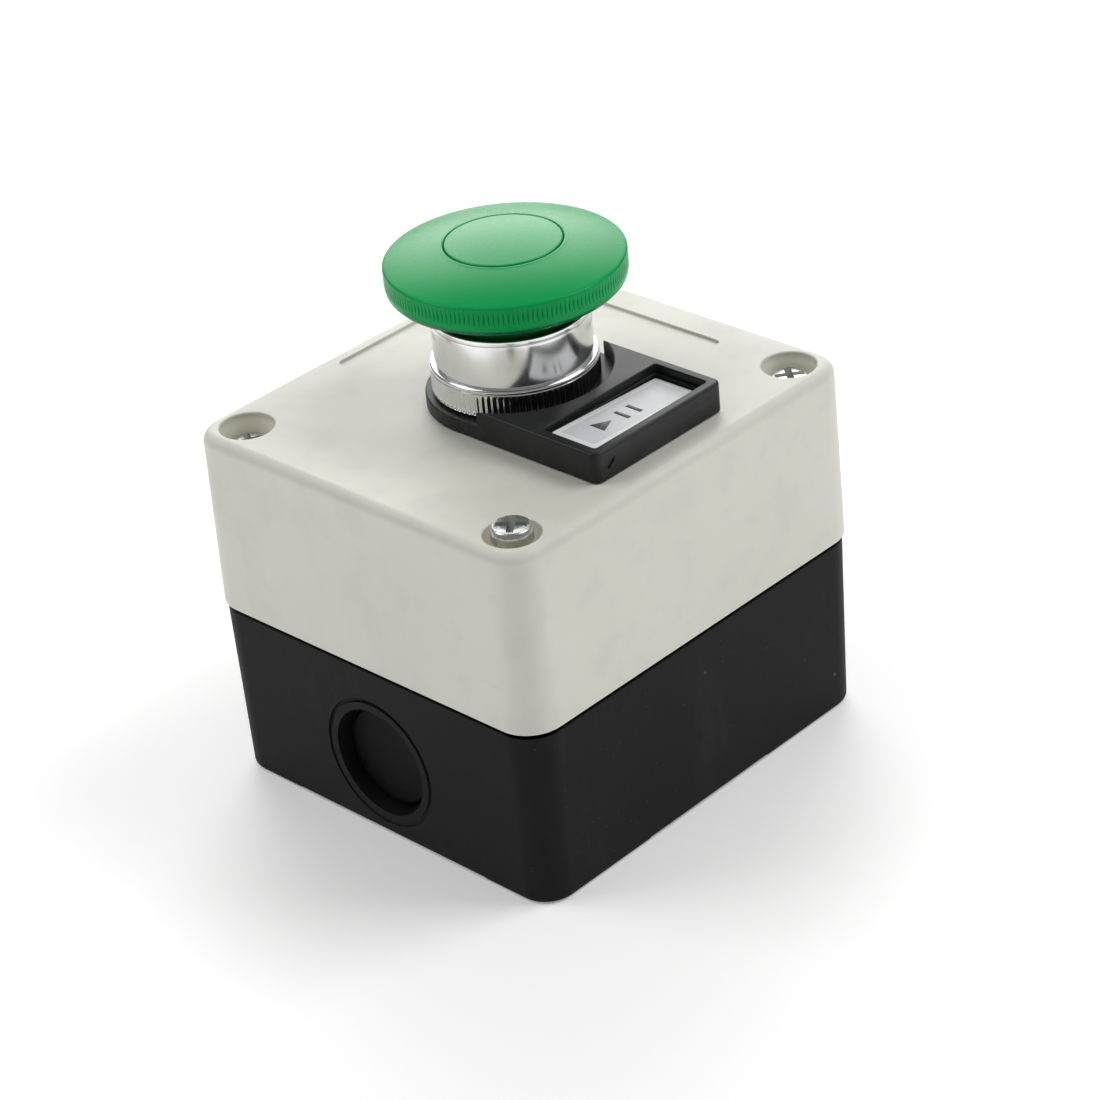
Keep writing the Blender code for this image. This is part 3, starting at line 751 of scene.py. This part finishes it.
def fade(value, low, high, soft):
    """1 between two limits, falling to 0 over a short way outside them."""
    one = min(1.0, max(0.0, (value - low) / soft + 1.0))
    two = min(1.0, max(0.0, (high - value) / soft + 1.0))
    return one * one * (3 - 2 * one) * two * two * (3 - 2 * two)


def mushroom(finish):
    pocket = 24.9
    radii = [10.3 + (19.2 - 10.3) * k / 14 for k in range(15)]
    face = [(r, dome(r)) for r in radii]
    start = rounded([(1.65, pocket, 0), (9.78, pocket, 0.1), (9.78, dome(9.8) - 0.44, 0.0)])
    start += [(9.78 + out, z) for out, z in rim_curve(dome(9.9), 0.42, 4)]
    rim = rounded([(19.3, dome(19.3), 0), (20.0, dome(20.0), 0.7),
                   (20.0, RIM_LOW - 0.1, 0.2), (19.8, RIM_LOW - 1.2, 0.5),
                   (19.0, RIM_LOW - 2.1, 0.7), (17.4, RIM_LOW - 2.5, 0.7),
                   (15.4, RIM_LOW - 2.3, 0.6), (14.2, RIM_LOW - 1.1, 0.3),
                   (12.1, RIM_LOW - 1.1, 0.3), (12.1, 12.0, 0.3), (10.9, 12.0, 0.2),
                   (10.9, 20.4, 0.2), (6.0, 20.4, 0.2), (6.0, 14.0, 0.2),
                   (4.3, 14.0, 0.1), (4.3, 23.3, 0.1), (1.65, 23.3, 0.0)], 5)
    ribbed = [p for p in rim if p[0] > 18.0]
    rest = rim[len(ribbed):]
    path = above_lid(start + face + split_long(ribbed, 0.46) + rest)
    count = 160

    def ribs(r, z, a):
        if r < 19.2:
            return r
        depth = 0.19 * fade(z - LID_Z, RIM_LOW + 0.2, RIM_TOP - 0.75, 0.35)
        return r - depth * rib_wave(a, count)

    mesh = turned("mushroom", path, count * 5, ring=True, shape=ribs)
    mesh.set_sharp_from_angle(angle=math.radians(50))
    add_piece("mushroom", mesh, finish, "actuator", ["mushroom_cap"])


def centre_disc(finish):
    top = [(9.15 * k / 12, dome(9.15 * k / 12)) for k in range(13)]
    edge = rounded([top[-1] + (0,), (9.7, dome(9.6), 0.45), (9.7, 25.3, 0.2),
                    (4.0, 25.3, 0.2), (4.0, 27.2, 0.1), (0.0, 27.2, 0)])
    mesh = turned("centre_disc", above_lid(top + edge[1:]), 128)
    mesh.set_sharp_from_angle(angle=math.radians(50))
    add_piece("centre_disc", mesh, finish, "actuator", ["cap_disc"])


def bright_bezel(finish):
    top = 16.6
    outer = rounded([(12.9, top, 0), (13.05, top, 0.1), (13.3, top - 0.05, 0.18),
                     (13.3, top - 0.75, 0.03), (13.24, top - 0.80, 0.03),
                     (13.24, top - 0.92, 0.03), (13.3, top - 0.97, 0.03),
                     (13.3, 8.1, 0.0), (13.45, 8.1, 0.0), (13.85, 8.1, 0.35),
                     (14.15, 7.75, 0.35), (13.98, 7.35, 0.1), (14.1, 7.2, 0.05),
                     (14.1, 3.3, 0.2), (13.7, 3.0, 0.15), (11.2, 3.0, 0.1),
                     (11.2, 7.2, 0.1), (12.6, 7.2, 0.2), (12.6, top - 0.25, 0.1),
                     (12.9, top, 0)], 5)
    path = above_lid(split_long(outer[:-1], 0.6))
    count = 88

    def ribs(r, z, a):
        if r < 13.6:
            return r
        depth = 0.26 * fade(z - LID_Z, 3.5, 6.85, 0.2)
        return r - depth * (0.5 - 0.5 * math.cos(a * count))

    mesh = turned("bright_bezel", path, count * 8, ring=True, shape=ribs)
    mesh.set_sharp_from_angle(angle=math.radians(60))
    add_piece("bright_bezel", mesh, finish, "station", ["bezel"])


def holder(finish):
    low, plate, top = LID_Z + 0.3, LID_Z + 2.7, LID_Z + 5.5
    side = (-15.3, 15.3)
    body = soft_block("holder", side, (-31.8, -2.0), (low, top), 1.5, 0.5, 0.0, 6)
    disc = turned("disc", rounded([(0.0, low, 0), (15.3, low, 0.0), (15.3, plate, 0.35),
                                   (0.0, plate, 0)], 6), 160)
    x0, x1, y0, y1 = WINDOW
    step = square_pocket((x0, x1), (y0, y1), 0.5, LID_Z + 4.1, top, 0.25)
    floor = square_pocket((x0 + 0.6, x1 - 0.6), (y0 + 0.5, y1 - 0.5), 0.4,
                          LID_Z + 1.9, LID_Z + 4.1, 0.15)
    pip = lofted("pip", [[(-12.6, y, LID_Z + 2.1), (-11.0, y, LID_Z + 2.1),
                          (-11.0 - lean, y, LID_Z + 3.6 - lean)]
                         for y, lean in ((-32.1, 0.5), (-31.85, 0.0), (-31.5, 0.0))])
    web = brick((-15.25, 15.25), (-6.0, -0.2), (low, plate))
    mesh = shaped(body, ("UNION", pip),
                  ("DIFFERENCE", round_pocket(16.3, plate, top, 0.3, sides=160)),
                  ("UNION", disc), ("UNION", web),
                  ("DIFFERENCE", drum(HEAD_HOLE_R, 50.0, 90.0, sides=96)),
                  ("DIFFERENCE", drum(13.9, 60.0, LID_Z + 1.4, sides=96)),
                  ("DIFFERENCE", step), ("DIFFERENCE", floor))
    mesh.set_sharp_from_angle(angle=math.radians(38))
    obj = add_piece("holder", mesh, finish, "station", ["legend_holder"])
    keep_flats(obj)


def legend(face, ink):
    x0, x1, y0, y1 = WINDOW
    mesh = soft_block("legend_card", (x0 + 0.9, x1 - 0.9), (y0 + 0.8, y1 - 0.8),
                      (LID_Z + 3.3, LID_Z + 4.1), 0.45, 0.12, 0.08)
    lift = (Matrix.Translation((0, 0, (LID_Z + 4.1) * MM))
            @ Matrix.Rotation(math.radians(CARD_TILT), 4, "Y")
            @ Matrix.Translation((0, 0, -(LID_Z + 4.1) * MM)))
    mesh.transform(lift)
    add_piece("legend_card", mesh, face, "station", ["legend_plate"])
    bm = bmesh.new()
    top = LID_Z + 4.14
    mid = (y0 + y1) / 2

    def flat_shape(points):
        rows = [[bm.verts.new((x, y, z)) for x, y in points] for z in (top - 0.1, top)]
        bm.faces.new(rows[0])
        bm.faces.new(rows[1])
        for k in range(len(points)):
            n = (k + 1) % len(points)
            bm.faces.new((rows[0][k], rows[0][n], rows[1][n], rows[1][k]))

    flat_shape([(-6.9, mid - 1.6), (-3.4, mid), (-6.9, mid + 1.6)])
    for cx in (-0.9, 2.0):
        flat_shape([(cx - 0.4, mid - 1.6), (cx + 0.4, mid - 1.6),
                    (cx + 0.4, mid + 1.6), (cx - 0.4, mid + 1.6)])
    marks = as_mesh("legend_marks", bm)
    marks.transform(lift)
    add_piece("legend_marks", marks, ink, "station", ())


def spring(name, node, finish, mid, wire, low, high, turns):
    """Round-wire coil with closed ends."""
    sides, around = 12, 40
    count = int(turns * around)
    bm = bmesh.new()
    rows = []
    span = high - low - 2 * wire
    for i in range(count + 1):
        t = i / count
        a = 2 * math.pi * turns * t
        z = low + wire + span * t
        out = Vector((math.cos(a), math.sin(a), 0))
        along = Vector((-math.sin(a) * mid, math.cos(a) * mid,
                        span / (2 * math.pi * turns))).normalized()
        up = along.cross(out)
        centre = out * mid + Vector((0, 0, z))
        rows.append([bm.verts.new(centre + (out * math.cos(b) + up * math.sin(b)) * wire)
                     for b in (2 * math.pi * k / sides for k in range(sides))])
    for one, two in zip(rows, rows[1:]):
        for k in range(sides):
            n = (k + 1) % sides
            bm.faces.new((one[k], one[n], two[n], two[k]))
    bm.faces.new(rows[0])
    bm.faces.new(rows[-1])
    obj = add_piece(name, as_mesh(name, bm), finish, "station", [node])
    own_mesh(obj)


def carry_over(finishes):
    """New finishes on the pieces kept from the frame."""
    choice = {
        "nylon": ["plunger_stem", "fixing_nut", "contact_carrier", "contact_block_housing",
                  "contact_block_cover", "contact_plunger"],
        "body": ["head_body"],
        "rubber": ["lid_seal", "stem_seal", "head_gasket"],
        "zinc": ["cap_screw", "carrier_screw_left", "carrier_screw_right",
                 "clamp_washer_left", "clamp_washer_right", "terminal_screw_left",
                 "terminal_screw_right"],
        "brass": ["fixed_contact_left", "fixed_contact_right"],
        "silver": ["contact_bridge"],
    }
    for key, nodes in choice.items():
        for node in nodes:
            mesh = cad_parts[node].data
            mesh.materials.clear()
            mesh.materials.append(finishes[key].material)


# ----------------------------------------------------------------- studio

def studio():
    mesh = bpy.data.meshes.new("floor")
    bm = bmesh.new()
    bmesh.ops.create_grid(bm, x_segments=8, y_segments=8, size=3.0)
    bm.to_mesh(mesh)
    bm.free()
    floor = bpy.data.objects.new("floor", mesh)
    bpy.context.scene.collection.objects.link(floor)
    mesh.materials.append(studio_floor().material)
    world = bpy.data.worlds.new("studio")
    world.use_nodes = True
    sky = Tree(world.node_tree, "Generated")
    back = sky.node("ShaderNodeVectorMath", {"operation": "DOT_PRODUCT"},
                    {0: sky.place, 1: (0.62, 0.64, 0.45)}, "Value")
    light = 0.22 + back.over(0.84, 1.0) * 3.5
    background = world.node_tree.nodes["Background"]
    background.inputs["Color"].default_value = rgb(1, 1, 1)
    world.node_tree.links.new(light.link, background.inputs["Strength"])
    bpy.context.scene.world = world
    bpy.context.scene.view_settings.view_transform = "Standard"
    lamp("right", (0.75, -0.65, 1.2), 0.8, 10.5)
    lamp("left", (-0.65, 0.75, 1.2), 0.8, 7.0)


def lamp(name, place, size, power):
    light = bpy.data.lights.new(name, "AREA")
    light.shape = "SQUARE"
    light.size = size
    light.energy = power
    obj = bpy.data.objects.new(name, light)
    obj.location = place
    aim = Vector((0, 0, 0.05)) - Vector(place)
    obj.rotation_euler = aim.to_track_quat("-Z", "Y").to_euler()
    bpy.context.scene.collection.objects.link(obj)


def camera():
    eye = bpy.data.cameras.new("camera")
    eye.sensor_width = 36.0
    eye.lens = 108.22
    eye.clip_start = 0.01
    eye.clip_end = 20.0
    obj = bpy.data.objects.new("camera", eye)
    right = Vector((0.68034, -0.72812, -0.08356))
    up = Vector((0.42018, 0.29408, 0.85847))
    ahead = Vector((0.60049, 0.61916, -0.50602))
    turn = Matrix((right, up, -ahead)).transposed().to_4x4()
    obj.matrix_world = Matrix.Translation((-0.33660, -0.35094, 0.32102)) @ turn
    bpy.context.scene.collection.objects.link(obj)
    bpy.context.scene.camera = obj


def build():
    zinc = zinc_plate()
    green = green_cap()
    steel = worn_metal("spring_wire", (0.55, 0.55, 0.55), (0.38, 0.37, 0.35), 0.24)
    lid(grey_abs())
    base(black_abs())
    lid_screws(zinc, screw_slot_shade())
    mushroom(green)
    centre_disc(green)
    bright_bezel(bright_chrome())
    black = holder_plastic()
    holder(black)
    legend(legend_face(), legend_ink())
    spring("return_coil", "return_spring", steel, 5.9, 0.45, 48.8, 66.7, 6.5)
    spring("contact_coil", "contact_spring", steel, 1.9, 0.28,
           17.8, 26.7, 5.0)
    carry_over({
        "nylon": plain_moulding("grey_nylon", (0.055, 0.056, 0.060),
                                (0.085, 0.086, 0.090), 0.48),
        "body": plain_moulding("head_black", (0.014, 0.014, 0.015),
                               (0.022, 0.022, 0.023), 0.42),
        "rubber": plain_moulding("seal_rubber", (0.012, 0.012, 0.012),
                                 (0.022, 0.021, 0.020), 0.72),
        "zinc": zinc,
        "brass": worn_metal("terminal_brass", (0.72, 0.50, 0.20), (0.50, 0.34, 0.14), 0.22),
        "silver": worn_metal("contact_silver", (0.80, 0.79, 0.76), (0.58, 0.57, 0.53), 0.2),
    })
    studio()
    camera()


build()
